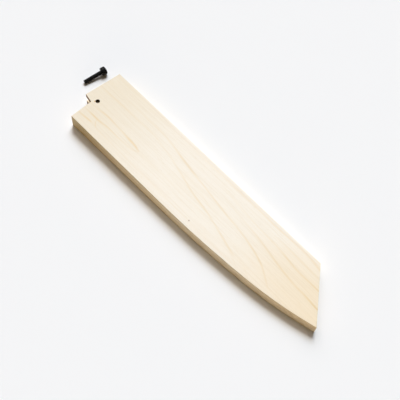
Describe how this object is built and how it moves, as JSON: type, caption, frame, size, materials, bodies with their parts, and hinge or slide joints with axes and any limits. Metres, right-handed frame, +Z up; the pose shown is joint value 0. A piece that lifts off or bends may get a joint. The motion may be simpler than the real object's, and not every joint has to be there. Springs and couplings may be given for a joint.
{
  "type": "knife blade guard",
  "caption": "Flat wooden blade guard with a slot for the blade, a stepped open mouth and a slanted tip end, and the loose round-headed pin that locks the knife in it.",
  "frame": {"origin": "centre of the pin's hole, on the face that the guard lies on", "axes": "+X along the guard from the mouth to the tip, +Y across it from the edge side to the spine, +Z up along the pin's hole"},
  "size_m": [0.2773, 0.056, 0.0126],
  "materials": {
    "pale_wood": "bare, sanded smooth",
    "black_pin": "satin black"
  },
  "bodies": {
    "guard": {"back_board": "pale_wood", "front_board": "pale_wood", "spine_strip": "pale_wood", "edge_strip": "pale_wood", "tip_strip": "pale_wood"},
    "pin": {"retaining_pin": "black_pin"}
  },
  "joints": [
    {"name": "pin_lift", "type": "slide", "parent": "guard", "child": "pin", "axis": [0, 0, 1], "range_m": [0, 0.06]}
  ]
}
